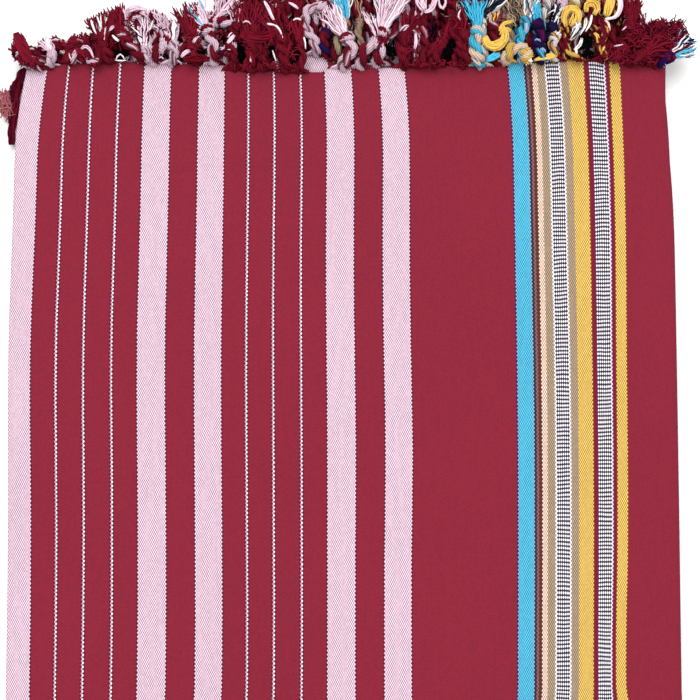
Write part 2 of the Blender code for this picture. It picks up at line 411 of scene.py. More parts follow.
# How the sheet lies: the four layers across the width from the top one down, the woven end's
# line, and how far the visible stripes were pushed to the right off straight lines
LAYERS = (
    # left_x, right_x
    (-0.1370, 0.1358),
    (-0.1368, 0.1349),
    (-0.1352, 0.1349),
    (-0.1352, 0.1330),
)
LAYER_PITCH = 0.0015
TURN_RADIUS = 0.00575
MIDDLE_Z = 0.00625
STRAIGHT_RUN = 0.814502
HALF_WIDTH = 0.1362
END_LINE = (
    # share of the width from the left fold, past the mean line, in millimetres
    (0.000, -2.6),
    (0.030, -2.4),
    (0.045, -1.4),
    (0.062, 0.6),
    (0.075, 0.9),
    (0.180, 0.9),
    (0.200, 0.6),
    (0.320, -0.4),
    (0.333, -2.9),
    (0.470, -3.4),
    (0.480, -1.8),
    (0.590, -1.5),
    (0.600, -0.9),
    (0.740, -0.6),
    (0.755, 0.8),
    (0.840, 1.2),
    (0.850, 2.4),
    (0.885, 2.4),
    (0.900, 1.4),
    (0.930, 0.4),
    (0.985, -0.4),
    (1.000, -1.7),
)
BELOW_PAST = ((0.40, 0.5), (0.43, 7.2), (0.472, 7.2), (0.50, 3.0), (0.54, 2.2), (0.56, 0.0))
END_PULL = (
    # from the selvage, and how far the tassels pull the woven end there, in millimetres
    (0, -1.0),
    (25, -0.5),
    (40, -1.8),
    (110, -2.4),
    (190, 0.2),
    (245, 1.6),
    (273, 4.4),
)
END_PULL_REACH = 0.045
PUSHES = (
    # from the selvage, from the woven end, push, reach across, reach along, in millimetres
    (240, 120, -1.1, 70, 50),
    (264, 130, -0.7, 12, 60),
    (195, 240, 0.55, 45, 50),
    (140, 75, -0.5, 35, 45),
    (112, 160, 0.7, 25, 35),
    (50, 150, 1.6, 35, 110),
    (24, 60, 0.9, 12, 50),
    (20, 250, -1.4, 11, 40),
    (0, 20, -2.4, 12, 30),
)
DRIFT_LENGTH = 0.258
FOLD_ACROSS = 0.2726
TOP_WIDTH = 0.2728
TOP_COLUMNS = 96
UNDER_COLUMNS = 30
FOLD_STEPS = 8


def smooth(share):
    share = min(max(share, 0.0), 1.0)
    return share * share * (3 - 2 * share)


def stripe_drift(across, distance):
    """Sideways drift of the visible layer: the tassels' pull and the soft pushes."""
    pull = np.interp(across * 1000, *zip(*END_PULL))
    drift = float(pull) * max(1 - distance / END_PULL_REACH, 0.0) ** 2
    for from_selvage, from_end, push, wide, long in PUSHES:
        away = ((across * 1000 - from_selvage) / wide) ** 2
        away += ((distance * 1000 - from_end) / long) ** 2
        drift += push * math.exp(-away)
    return drift / 1000


def end_past(share, row):
    """How far a stacked row's woven end, 0 on the floor, runs past the mean line."""
    past = np.interp(share, *zip(*END_LINE))
    if row < 7:
        past += np.interp(share, *zip(*BELOW_PAST)) + 0.35 * (7 - row)
    return float(past) / 1000


def sheet_columns():
    """From the top selvage to the bottom one: (layer, share, x, radius, across)."""
    columns = []
    for layer, (left, right) in enumerate(LAYERS):
        radius = TURN_RADIUS - layer * LAYER_PITCH
        leftwards = layer % 2 == 0
        count = TOP_COLUMNS if layer == 0 else UNDER_COLUMNS
        for step in range(count + 1):
            share = 1 - step / count if leftwards else step / count
            columns.append([layer, share, left + (right - left) * share, radius])
        if layer == 3:
            break
        fold_x = left if leftwards else right
        outwards = -1 if leftwards else 1
        for step in range(1, FOLD_STEPS):
            turn = math.pi * step / FOLD_STEPS
            x = fold_x + outwards * math.sin(turn) * LAYER_PITCH / 2
            drop = (1 - math.cos(turn)) * LAYER_PITCH / 2
            columns.append([layer, 0.0 if leftwards else 1.0, x, radius - drop])
    lengths = [0.0]
    for before, after in zip(columns, columns[1:]):
        lengths.append(lengths[-1] + math.hypot(after[2] - before[2], after[3] - before[3]))
    top = lengths[TOP_COLUMNS]
    stretch = (2 * MIDDLE_END * END_PITCH - top) / (lengths[-1] - top)
    for column, length in zip(columns, lengths):
        column.append(length if length <= top else top + (length - top) * stretch)
    return columns


def sheet_rows():
    """From the upper end round the half turn to the lower end: (distance, angle)."""
    near = [0.0, 0.0012, 0.0026, 0.0044, 0.0068, 0.0098, 0.0134, 0.0176, 0.0225, 0.028, 0.034]
    crease = [0.038 + 0.0012 * step for step in range(10)]
    visible = [0.053 + 0.0085 * step for step in range(28)]
    far = [0.31, 0.36, 0.42, 0.5, 0.6, 0.7, 0.78]
    upper = [(distance, math.pi / 2) for distance in near + crease + visible + far]
    turn = [(STRAIGHT_RUN, math.pi / 2 + math.pi * step / 14) for step in range(15)]
    under = [0.0, 0.004, 0.009, 0.014, 0.024, 0.040, 0.075, 0.11, 0.2, 0.3, 0.45, 0.6, 0.72]
    lower = [(distance, 3 * math.pi / 2) for distance in reversed(under)]
    return upper + turn + lower


def relief(x, y, distance):
    """Height of the soft creases pressed into the top layer."""
    pressed = math.exp(-(((distance - 0.0445 + 0.012 * x) / 0.0022) ** 2))
    reach = smooth((x + 0.100) / 0.02) * smooth((0.030 - x) / 0.02)
    height = -0.00028 * pressed * reach
    ridge = math.exp(-(((distance - 0.0405 + 0.012 * x) / 0.0030) ** 2))
    height += 0.00016 * ridge * reach
    lengthwise = math.exp(-(((x + 0.020 - 0.02 * y) / 0.006) ** 2))
    height += 0.00012 * lengthwise * smooth(distance / 0.03)
    height += 0.00022 * math.sin(x / 0.041 + 1.1) * math.sin(distance / 0.033 + 0.6)
    height += 0.00012 * math.sin(x / 0.017 + distance / 0.06)
    return height * smooth((HALF_WIDTH - abs(x)) / 0.012)


def sheet_point(column, row):
    layer, share, x, radius, across = column
    distance, angle = row
    upper = math.sin(angle) > 0
    height = MIDDLE_Z + radius * math.sin(angle)
    y = WOVEN_END_Y - distance + radius * math.cos(angle)
    stacked = 7 - layer if upper else layer
    y += end_past(share, stacked) * (1 - smooth(distance / 0.040))
    wander = 0.0007 * math.sin(2 * math.pi * y / 0.46 + 1)
    plain = wander - x * 0.033 * math.exp(-distance / 0.024)
    if upper and distance <= DRIFT_LENGTH:
        drift = stripe_drift(min(across, FOLD_ACROSS), distance)
        held = 1.0
        if layer > 0 or across > TOP_WIDTH:
            held = smooth(1 - share / 0.2) if layer == 1 else (1.0 if layer == 0 else 0.0)
        plain = plain * (1 - held) + drift * held
    lift = max(height - 0.001, 0.0) * 0.08 * smooth(2 * abs(x) / HALF_WIDTH - 1)
    if upper and layer == 0:
        lift += relief(x, y, distance) * smooth((1.2 - distance / 0.6) / 0.2)
    return (x + plain, y, height + lift)


columns = sheet_columns()
rows = sheet_rows()
lengths = [0.0]
for (d0, a0), (d1, a1) in zip(rows, rows[1:]):
    lengths.append(lengths[-1] + abs(d1 - d0) + abs(a1 - a0) * TURN_RADIUS * 0.6)
cloth_bm = bmesh.new()
bmesh.ops.create_grid(cloth_bm, x_segments=len(columns) - 1, y_segments=len(rows) - 1, size=0.5)
uv_layer = cloth_bm.loops.layers.uv.new("UVMap")
for vert in cloth_bm.verts:
    column = round((vert.co.x + 0.5) * (len(columns) - 1))
    row = round((vert.co.y + 0.5) * (len(rows) - 1))
    vert.co = sheet_point(columns[column], rows[row])
    for loop in vert.link_loops:
        loop[uv_layer].uv = (columns[column][4], lengths[row])
for face in cloth_bm.faces:
    face.smooth = True
cloth_mesh = bpy.data.meshes.new("cloth")
cloth_bm.to_mesh(cloth_mesh)
cloth_bm.free()
cloth_mesh.materials.append(cotton)
cloth = bpy.data.objects.new("cloth", cloth_mesh)
bpy.context.scene.collection.objects.link(cloth)
thicken = cloth.modifiers.new("thickness", "SOLIDIFY")
thicken.thickness = SHEET_THICKNESS
thicken.offset = 0
thicken.use_even_offset = True
thicken.use_quality_normals = True
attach(cloth, "root")
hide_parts("shawl_cloth")


# FRINGE
# The cloth's own warp ends beyond its last pick, gathered by the centimetre, twisted into
# two-ply cords, each closed with a knot and left loose as a tuft of yarns. One piece for each
# of the eight layer ends, which are heaped on each other.

TASSELS_PER_ROW = 26
TASSEL_SPAN = (-0.1360, 0.1346)
PULLED_IN_SHARE = 0.967
PILE_BASE = 0.0022
PILE_PITCH = 0.00225
PLY_RADIUS = 0.00150
PLY_OFFSET = 0.00128
PLY_TURN = 0.0100
PLY_YARNS = 7
YARN_RADIUS = 0.00040
# The middle of the picture and the length of the lens, in the picture's pixels
PICTURE_MIDDLE = 350
LENS_PIXELS = 1578.0
TASSEL_REACH = (
    # share of the width from the left fold, reach in millimetres
    (0.00, 9.0),
    (0.105, 9.0),
    (0.125, 19.0),
    (0.19, 22.0),
    (0.22, 17.0),
    (0.27, 18.0),
    (0.31, 32.0),
    (0.38, 40.0),
    (0.46, 44.0),
    (0.62, 45.0),
    (0.77, 40.0),
    (0.85, 36.0),
    (0.90, 26.0),
    (1.00, 17.0),
)
DEEP_GAPS = (-0.093, -0.071, -0.062, -0.044, -0.021, 0.004, 0.0186, 0.0416, 0.1006)

# The tassels that show, for the top layer, row 7, and those below it. A place is where it
# shows in the 700 pixel picture, from its top left. Lift, in millimetres, is above the row's
# level, thickness a share of the usual one, and a tuft its heading, length in millimetres,
# spread, curl and number of yarns.
POSED = (
    # row, tassel, plies, lift, thickness, cord's places, tuft, tuft yarns
    (7, 0, "maroon maroon", 0, 0.7, ((42, 66), (37, 64), (33, 61)),
     (122, 10.7, 8, 0, 60), "maroon"),
    (6, 1, "pink pink", 1.5, 0.75, ((50, 66), (51, 60), (52, 55)),
     (128, 6.6, 24, 0, 26), "pink white"),
    (7, 1, "maroon pink", 0, 0.85, ((70, 64), (74, 57), (80, 51), (87, 53), (93, 60)),
     (-60, 2.1, 14, 0, 12), "maroon"),
    (6, 3, "maroon maroon", 0.5, 0.85, ((80, 62), (82, 56), (77, 52), (72, 49)),
     (150, 4.1, 20, 0, 24), "maroon"),
    (7, 2, "maroon maroon", 0, 0.9, ((97, 63), (100, 55), (102, 47)),
     (96, 12.4, 22, -8, 60), "maroon maroon maroon maroon white"),
    (7, 3, "maroon maroon", -0.5, 1, ((112, 62), (107, 55), (101, 47), (99, 38)),
     (100, 8.2, 24, 0, 40), "maroon maroon maroon white"),
    (6, 5, "maroon maroon", 2.2, 1, ((146, 62), (139, 54), (130, 45), (122, 36)),
     (108, 11.5, 22, 20, 60), "maroon"),
    (7, 4, "pink pink", 0, 0.6, ((148, 62), (147, 57), (145, 51)),
     (97, 12.4, 17, 0, 36), "pink white pink wine"),
    (5, 5, "pink maroon", 2.5, 0.8, ((150, 60), (148, 40), (142, 26), (136, 18)),
     (60, 4.1, 26, -40, 16), "pink maroon"),
    (7, 5, "pink maroon", 0, 1, ((153, 62), (155, 55), (160, 48), (166, 43)),
     (80, 3.7, 20, 40, 16), "pink wine"),
    (6, 6, "maroon pink", 1.0, 0.85, ((162, 62), (153, 52), (152, 44), (159, 36)),
     (100, 3.7, 24, 0, 20), "wine pink"),
    (7, 6, "pink pink/wine", 0.4, 0.9, ((170, 61), (174, 56), (173, 47)),
     (86, 10.7, 7, 8, 16), "pink white maroon"),
    (6, 7, "maroon maroon", 1.8, 1, ((198, 63), (196, 56), (194, 48)),
     (102, 17.3, 12, 8, 80), "maroon"),
    (5, 7, "maroon maroon", 2.6, 0.9, ((201, 62), (198, 50), (190, 46), (183, 50)),
     (200, 2.5, 15, 0, 12), "pink"),
    (7, 7, "pink maroon", 0.3, 0.95, ((214, 64), (212, 54), (213, 44), (208, 31)),
     (124, 12.4, 14, 0, 34), "pink white pink blue"),
    (6, 8, "pink maroon", 0.5, 0.9,
     ((226, 64), (229, 52), (234, 40), (233, 28), (224, 22), (215, 22)),
     (40, 14.8, 12, 0, 34), "pink"),
    (7, 8, "maroon maroon", -0.4, 0.8, ((232, 66), (234, 56), (230, 46), (234, 36), (236, 27)),
     (100, 7.4, 14, 0, 20), "maroon pink"),
    (7, 9, "maroon maroon", 0, 1, ((252, 71), (250, 62), (252, 52), (250, 42)),
     (84, 16.5, 27, 0, 80), "maroon"),
    (6, 10, "maroon maroon", 0.8, 1, ((264, 70), (262, 58), (260, 46), (264, 35)),
     (92, 14.8, 26, 0, 60), "maroon"),
    (7, 10, "maroon maroon", 0, 1, ((285, 73), (285, 62), (283, 50), (281, 41)),
     (124, 14.8, 22, -20, 60), "maroon maroon maroon wine"),
    (6, 11, "maroon maroon", 0, 1, ((291, 68), (288, 56), (289, 42), (296, 30)),
     (88, 13.2, 12, 0, 44), "maroon crimson"),
    (7, 11, "maroon maroon", 0.4, 0.6, ((298, 73), (302, 65), (303, 55), (300, 45)),
     (96, 9.9, 14, 0, 34), "maroon"),
    (6, 12, "pink pink/maroon/pink", 1.8, 0.85,
     ((315, 54), (316, 46), (312, 37), (306, 29), (305, 18), (311, 8), (321, 7)),
     (-62, 3.7, 16, 0, 18), "pink"),
    (5, 12, "maroon navy", 3.4, 0.85, ((329, 56), (325, 48), (322, 41), (325, 34)),
     (84, 9.9, 12, 0, 30), "pink maroon"),
    (7, 12, "pink maroon", 0.6, 1.05, ((341, 65), (347, 57), (352, 47), (347, 39)),
     (121, 14.8, 14, 0, 40), "pink white pink"),
    (6, 13, "maroon taupe", 0, 0.9, ((338, 64), (336, 52), (340, 38), (344, 24)),
     (96, 12.4, 12, 0, 36), "blue blue blue white"),
    (5, 13, "taupe taupe", 1.0, 0.6, ((362, 62), (361, 44), (358, 32), (359, 24)),
     (100, 10.7, 10, 0, 18), "taupe maroon"),
    (7, 13, "pink maroon", 0.8, 1, ((359, 67), (362, 57), (367, 48), (376, 43)),
     (110, 12.4, 9, 0, 40), "pink white pink wine"),
    (6, 14, "pink maroon", 1.6, 1, ((376, 68), (378, 58), (380, 46), (382, 34)),
     (72, 16.5, 20, 0, 56), "pink white pink"),
    (7, 14, "maroon maroon", 0, 1, ((402, 68), (406, 58), (401, 48), (404, 38)),
     (70, 10.7, 22, 0, 46), "maroon"),
    (6, 15, "maroon maroon/pink", 1.2, 0.8, ((414, 68), (416, 56), (417, 44), (415, 34)),
     (84, 9.9, 12, 0, 34), "maroon maroon maroon pink"),
    (5, 15, "maroon maroon", 1.0, 0.9, ((425, 60), (424, 44), (420, 30), (422, 18)),
     (100, 9.9, 18, 0, 40), "maroon crimson"),
    (7, 15, "maroon maroon", 0.4, 0.9, ((420, 68), (421, 60), (426, 53), (432, 50)),
     (40, 4.9, 18, 0, 20), "maroon"),
    (7, 16, "maroon maroon", 0.2, 0.9, ((436, 67), (434, 60), (436, 52), (441, 43)),
     (56, 9.1, 14, 0, 40), "maroon crimson"),
    (7, 17, "maroon maroon", 0, 1, ((461, 67), (465, 57), (460, 46), (463, 36)),
     (108, 10.7, 14, 0, 40), "maroon crimson"),
    (6, 17, "maroon maroon", 0, 0.9, ((459, 68), (457, 56), (461, 44), (456, 32), (460, 23)),
     (84, 9.1, 12, 0, 20), "taupe white maroon"),
    (7, 18, "blue cream", 0.6, 1.05, ((483, 66), (478, 57), (474, 46), (477, 33)),
     (98, 13.2, 16, 0, 50), "blue blue blue blue night"),
    (6, 18, "cream maroon", 0, 0.9, ((472, 66), (468, 54), (469, 40), (466, 30)),
     (118, 9.1, 22, 30, 30), "white taupe night"),
    (5, 18, "taupe white", 2.5, 0.8, ((485, 62), (484, 48), (482, 32), (481, 24)),
     (50, 14.8, 11, 0, 30), "white night"),
    (6, 19, "maroon maroon", 1.6, 0.9, ((497, 64), (497, 52), (495, 40), (494, 28)),
     (80, 5.8, 16, 0, 20), "pink maroon yellow"),
    (5, 19, "taupe taupe", 1.0, 0.9, ((516, 62), (512, 45), (508, 30), (506, 20)),
     (96, 10.7, 18, 0, 40), "taupe taupe clay night"),
    (7, 19, "cream yellow", 0.6, 1, ((507, 64), (507, 56), (513, 48), (521, 48), (527, 56)),
     (-70, 2.5, 14, 0, 14), "yellow white"),
    (6, 20, "blue/night/blue blue", 2.4, 0.85,
     ((522, 62), (521, 52), (519, 42), (523, 32), (526, 22)),
     (80, 9.9, 12, 0, 24), "white taupe"),
    (7, 20, "navy/night/navy plum/night/navy", 0.2, 1,
     ((539, 62), (542, 53), (537, 44), (541, 34), (538, 26)),
     (100, 9.9, 12, 0, 36), "blue blue blue navy"),
    (6, 21, "night navy", 0.4, 0.85, ((549, 62), (552, 50), (550, 38), (552, 28)),
     (66, 9.9, 10, 0, 18), "white night night"),
    (7, 21, "white maroon/yellow", 0.6, 0.75, ((556, 60), (554, 52), (552, 45), (554, 39)),
     (40, 2.5, 20, 0, 10), "white"),
    (6, 22, "maroon/crimson/yellow maroon", 1.0, 0.9, ((566, 58), (564, 48), (562, 38), (565, 29)),
     (80, 4.1, 30, 0, 20), "yellow maroon"),
    (7, 22, "crimson/maroon yellow/maroon", 0.2, 0.6,
     ((583, 60), (576, 57), (568, 50), (566, 43), (571, 37)),
     (55, 5.8, 18, 40, 20), "white night white"),
    (6, 23, "maroon maroon/yellow/maroon", 1.0, 0.8,
     ((602, 60), (600, 48), (596, 34), (591, 20), (592, 12)),
     (90, 6.6, 16, 0, 20), "maroon yellow"),
    (7, 23, "maroon maroon/maroon/yellow", 0.6, 0.85, ((600, 60), (604, 51), (601, 42), (603, 32)),
     (96, 4.1, 14, 0, 16), "maroon"),
    (5, 23, "maroon maroon", 1.0, 0.9, ((612, 58), (612, 42), (610, 28), (610, 22)),
     (92, 10.7, 14, 0, 24), "yellow maroon"),
    (6, 24, "maroon maroon", 0.5, 1, ((622, 64), (625, 52), (626, 40), (630, 28)),
     (86, 13.2, 13, 0, 60), "maroon"),
    (7, 24, "maroon maroon", 0.4, 0.9, ((630, 66), (635, 59), (641, 56)),
     (30, 12.4, 26, -30, 60), "maroon maroon wine"),
    (7, 25, "maroon navy", 0.2, 0.9, ((655, 67), (662, 61), (668, 57)),
     (30, 10.7, 24, 20, 50), "blue white plum maroon"),
    (6, 25, "maroon maroon", 1.2, 0.9, ((645, 66), (650, 59), (654, 53)),
     (30, 9.1, 30, -20, 60), "maroon maroon wine"),
)

# Matted loose yarns on the tassels: middle, its place in the picture, then the reach, the
# heading and its spread, the yarns' length and their number
# The near-black mats sit in the deep gaps among the tassels: painted shade, not yarns of the shawl.
MATS = (
    # row, yarns, lift, middle, reach, heading, spread, length, count
    (7, "maroon maroon maroon wine", 0.6, (655, 37), (12.8, 5.4), 40, 50, 7.4, 170),
    (6, "maroon wine", 0, (668, 30), (7.8, 4.1), 50, 50, 6.6, 90),
    (7, "maroon wine", 0.5, (640, 57), (13.2, 2.5), 0, 60, 5.8, 70),
    (7, "blue white night navy", 0.8, (684, 42), (2.9, 2.5), 20, 50, 4.9, 36),
    (7, "maroon maroon crimson wine", 0.6, (118, 32), (9.1, 6.6), 80, 50, 5.8, 70),
    (7, "maroon", 0.4, (192, 28), (2.9, 7.4), 80, 25, 6.6, 50),
    (7, "maroon maroon wine", 0.8, (258, 32), (8.2, 8.2), 95, 50, 5.8, 90),
    (7, "maroon", 0.8, (287, 42), (4.5, 8.2), 95, 40, 5.4, 40),
    (7, "maroon", 0.2, (264, 66), (14.0, 1.2), 90, 40, 3.3, 40),
    (7, "maroon wine", 0.2, (28, 61), (4.5, 2.1), 110, 50, 4.1, 60),
    (6, "ink", 0.6, (588, 54), (2.1, 1.2), 0, 50, 3.3, 34),
    (7, "maroon crimson wine", 0.8, (408, 46), (4.5, 6.2), 80, 55, 4.9, 56),
    (7, "maroon crimson", 0.6, (462, 38), (3.3, 8.2), 90, 35, 5.4, 50),
    (7, "maroon", 0.1, (430, 64), (14.8, 1.2), 80, 50, 3.3, 40),
    (7, "pink maroon wine", 0.2, (160, 52), (4.9, 2.5), 60, 70, 3.7, 20),
    (7, "maroon crimson pink", 0.5, (223, 42), (4.1, 4.9), 70, 60, 3.7, 26),
    (6, "taupe taupe clay night", 1.0, (514, 12), (4.1, 4.9), 110, 22, 6.6, 36),
    (6, "night night ink white", 1.0, (554, 16), (2.1, 4.9), 65, 20, 5.8, 20),
    (0, "rose", 1.5, (7, 106), (2.1, 5.4), 118, 22, 8.2, 90),
    (6, "ink", 0.6, (241, 50), (1.2, 4.1), 90, 25, 3.7, 44),
    (6, "ink", 0.8, (295, 55), (1.6, 2.5), 90, 50, 3.3, 44),
    (6, "ink", 0.6, (391, 50), (2.9, 2.5), 90, 60, 3.7, 56),
    (6, "ink", 1.2, (448, 44), (2.1, 5.4), 75, 30, 4.5, 70),
    (6, "ink", 0.6, (123, 54), (2.9, 1.0), 90, 60, 3.3, 36),
    (6, "ink", 0.8, (586, 43), (2.5, 2.9), 90, 60, 3.7, 56),
    (6, "ink", 0.4, (355, 47), (1.6, 4.1), 90, 30, 3.7, 44),
    (5, "ink", 1.0, (270, 52), (0.8, 2.1), 90, 40, 3.3, 20),
    (7, "ink", 0.0, (200, 52), (2.5, 1.2), 20, 30, 3.7, 34),
    (6, "ink", 0.4, (170, 57), (2.1, 0.8), 0, 40, 3.3, 24),
    (5, "ink wine", 1.0, (330, 48), (1.6, 3.3), 90, 60, 3.7, 24),
    (6, "ink night", 0.0, (550, 34), (2.5, 3.3), 90, 60, 3.7, 30),
    (7, "maroon", 0.6, (195, 46), (3.3, 3.7), 90, 60, 4.1, 30),
    (7, "maroon wine", 0.4, (222, 54), (4.1, 1.6), 60, 60, 4.1, 30),
    (7, "ink wine", 0.2, (432, 29), (1.2, 4.1), 62, 18, 4.9, 50),
    (6, "ink", 0.6, (220, 36), (2.1, 2.1), 70, 40, 3.7, 30),
    (6, "ink", 0.6, (612, 20), (2.9, 1.6), 90, 40, 4.1, 30),
    (6, "ink wine", 0.0, (256, 8), (1.6, 3.3), 100, 30, 4.1, 26),
    (7, "maroon", 0.6, (612, 52), (4.9, 3.3), 70, 60, 4.9, 50),
)

# Single yarns and thin bundles that lie across the tassels, by their places in the picture
LOOSE = (
    # row, yarns, lift, count, width, places
    (7, "yellow", 1.2, 24, 4.0, ((485, 36), (487, 44), (495, 47), (502, 43), (505, 34), (501, 26))),
    (7, "yellow", 1.6, 3, 0.9, ((499, 31), (504, 24), (513, 21))),
    (7, "yellow taupe", 1.6, 3, 0.9, ((500, 35), (504, 29), (511, 31))),
    (7, "yellow", 1.4, 15, 3.0, ((565, 27), (563, 17), (568, 9), (576, 9), (580, 16), (578, 24))),
    (7, "yellow", 1.8, 8, 2.2, ((570, 26), (574, 20), (575, 13))),
    (7, "yellow", 1.4, 10, 2.4, ((586, 12), (587, 5), (593, 3), (597, 9), (594, 15))),
    (7, "yellow", 1.2, 9, 3.0, ((608, -4), (608, 7), (606, 17))),
    (7, "yellow taupe", 1.2, 6, 2.0, ((614, -4), (613, 7), (609, 15))),
    (7, "white pink", 1.6, 5, 1.4, ((620, -4), (620, 8), (616, 16), (605, 19))),
    (7, "cream", 1.4, 4, 1.2, ((604, 20), (608, 25), (609, 31))),
    (7, "yellow", 1.6, 4, 1.2, ((594, 33), (597, 37), (597, 43))),
    (7, "yellow", 1.8, 4, 1.0, ((601, 53), (603, 49), (605, 45))),
    (7, "pink white pink", 1.5, 10, 4.4, ((420, -8), (422, 4), (425, 11))),
    (7, "pink", 1.6, 5, 1.6, ((424, 12), (430, 10), (434, 3), (436, -5))),
    (7, "pink", 1.6, 4, 1.2, ((439, -5), (439, 5), (442, 9), (445, 5), (445, -4))),
    (7, "pink", 1.6, 5, 1.3, ((181, 57), (186, 53), (190, 51))),
    (7, "pink", 1.6, 5, 1.3, ((193, 43), (197, 39), (200, 37))),
    (7, "pink", 1.6, 5, 1.4, ((227, 43), (231, 39), (234, 35))),
    (7, "white", 1.8, 2, 0.5, ((461, 10), (458, 16), (460, 20))),
    (7, "pink", 0.6, 9, 2.6, ((128, 11), (136, 8), (147, 11))),
    (7, "blue", 0.2, 14, 3.2, ((486, 60), (493, 57), (500, 53))),
    (7, "cream", 0, 5, 2.4, ((471, 52), (474, 59), (480, 66))),
    (7, "white", 0.2, 1, 0.0, ((116, 60), (120, 54.5), (120.6, 54.5), (125, 60))),
    (7, "white", 0.4, 1, 0.0, ((115, 60.5), (120, 61), (126, 60.5))),
    (7, "pink", 1.8, 1, 0.0, ((69, 53), (70, 56), (72, 60))),
    (7, "pink", 2.2, 2, 0.5, ((81, 49), (85, 46), (90, 49), (94, 58))),
    (7, "white", 2, 2, 0.5, ((91, 20), (94, 28), (97, 34))),
    (7, "white pink", 2, 2, 0.6, ((97, 16), (100, 23), (102, 29))),
    (7, "pink", 2, 3, 0.8, ((110, 31), (112, 28), (114, 26))),
    (7, "white", 2, 2, 0.4, ((112, 35), (115, 38), (119, 41))),
    (7, "pink", 2, 2, 0.6, ((122, 7), (125, 13), (126, 20))),
    (7, "white", 2.4, 2, 0.6, ((267, 24), (275, 26), (280, 31), (283, 38))),
    (7, "pink", 2.2, 2, 0.6, ((243, 23), (247, 21), (251, 24))),
    (7, "white pink", 2.4, 3, 0.8, ((264, 1), (269, 10), (274, 20))),
    (7, "pink", 2.4, 3, 0.8, ((289, 2), (294, 5), (298, 9))),
    (7, "white", 2.4, 2, 0.6, ((293, 20), (297, 18), (301, 20))),
    (7, "white", 2, 2, 0.6, ((304, 37), (306, 43), (306, 49))),
    (7, "pink", 2, 3, 0.9, ((250, 54), (251, 62))),
    (7, "white", 2, 1, 0.3, ((273, 50), (275, 57), (276, 61))),
    (7, "maroon crimson", 1.8, 16, 3.4, ((240, 34), (252, 37), (266, 37), (277, 34))),
    (7, "maroon wine", 2.0, 8, 1.6, ((262, 20), (270, 30), (272, 44))),
    (7, "pink", 1.8, 4, 1.2, ((416, 33), (416, 41), (414, 49))),
    (7, "rose plum pink", 1.0, 6, 2.4, ((400, 32), (404, 27), (409, 26))),
    (7, "white night white", 1.6, 7, 2.4, ((570, 40), (575, 34), (579, 27))),
    (7, "white", 2.0, 2, 0.5, ((586, 18), (585, 27), (580, 35))),
    (7, "white", 2.0, 2, 0.5, ((592, 15), (591, 24), (586, 32))),
    (7, "white", 1.8, 3, 0.9, ((574, 50), (579, 45), (582, 38))),
    (7, "white", 1.8, 2, 0.5, ((577, 54), (576, 48))),
    (7, "pink", 2.2, 1, 0.0, ((622, 30), (624, 28), (626, 26))),
    (7, "pink", 2.2, 1, 0.0, ((614, 46), (619, 45), (623, 44))),
    (7, "yellow", 0.4, 7, 1.6, ((534, 60), (545, 57), (557, 55))),
    (7, "sky", 2.2, 5, 1.2, ((535, 41), (538, 40), (540, 42))),
    (7, "sky", 2.2, 5, 1.2, ((540, 50), (543, 50), (545, 53))),
    (7, "maroon wine", 1.6, 8, 1.6, ((403, 62), (398, 52), (402, 44))),
    (7, "maroon wine", 1.6, 9, 2.0, ((447, 22), (452, 34), (462, 42))),
    (0, "maroon maroon wine", 1.2, 34, 3.4, ((24, 70), (18, 84), (15, 104), (13, 124), (12, 145))),
    (7, "maroon", 0.6, 40, 3.4, ((36, 64), (27, 57), (20, 45), (16, 33))),
    (7, "maroon", 0.8, 26, 3.0, ((64, 62), (72, 52), (82, 50), (88, 58))),
    (6, "pink white", 2.4, 5, 1.3, ((196, 34), (202, 28), (214, 25))),
    (7, "maroon crimson", 1.2, 12, 2.4, ((183, 60), (196, 58), (210, 59))),
)
STRAY_CORD = ((27, 68), (20, 78), (15, 90))
STRAY_HEIGHT = 0.003
STRAY_TUFT = (-98, 12.0, 8, 0)

yarn_material = bpy.data.materials.new("fringe_yarn")
yarn_material.use_nodes = True
t = Tree(yarn_material.node_tree)
shader = yarn_material.node_tree.nodes["Principled BSDF"]
dyed = yarn_material.node_tree.nodes.new("ShaderNodeAttribute")
dyed.attribute_name = "yarn"
uv = yarn_material.node_tree.nodes.new("ShaderNodeUVMap")
uv.uv_map = "UVMap"
parts = yarn_material.node_tree.nodes.new("ShaderNodeSeparateXYZ")
t.put(parts.inputs[0], uv.outputs[0])
lengthwise = t.math("MULTIPLY", parts.outputs[0], 900.0)
around_yarn = t.math("MULTIPLY", parts.outputs[1], 14.0)
fibre_place = t.point(lengthwise, around_yarn)
fibres = t.noise(fibre_place, 1.0, 3.0)
light = t.math("MULTIPLY_ADD", fibres, 0.8, 0.58)
lit_yarn = t.mix(1.0, dyed.outputs["Color"], t.point(light, light, light), "MULTIPLY")
t.put(shader.inputs["Base Color"], lit_yarn)
shader.inputs["Roughness"].default_value = 0.9
shader.inputs["Specular IOR Level"].default_value = 0.06
bump = yarn_material.node_tree.nodes.new("ShaderNodeBump")
bump.inputs["Strength"].default_value = 0.4
bump.inputs["Distance"].default_value = 0.0002
t.put(bump.inputs["Height"], fibres)
t.put(shader.inputs["Normal"], bump.outputs[0])


def outline(name, corners):
    """A closed outline for the section of a strand, from (angle, radius) corners."""
    data = bpy.data.curves.new(name, "CURVE")
    spline = data.splines.new("POLY")
    spline.points.add(len(corners) - 1)
    for place, (angle, radius) in zip(spline.points, corners):
        place.co = (radius * math.cos(angle), radius * math.sin(angle), 0.0, 1.0)
    spline.use_cyclic_u = True
    thing = bpy.data.objects.new(name, data)
    bpy.context.scene.collection.objects.link(thing)
    return thing


PLY_CORNERS = 2 * PLY_YARNS
ply_outline = outline(
    "ply_outline",
    [(math.pi * k / PLY_YARNS, 1.08 if k % 2 else 0.74) for k in range(PLY_CORNERS)],
)
yarn_outline = outline("yarn_outline", [(2 * math.pi * k / 3, 1.0) for k in range(3)])


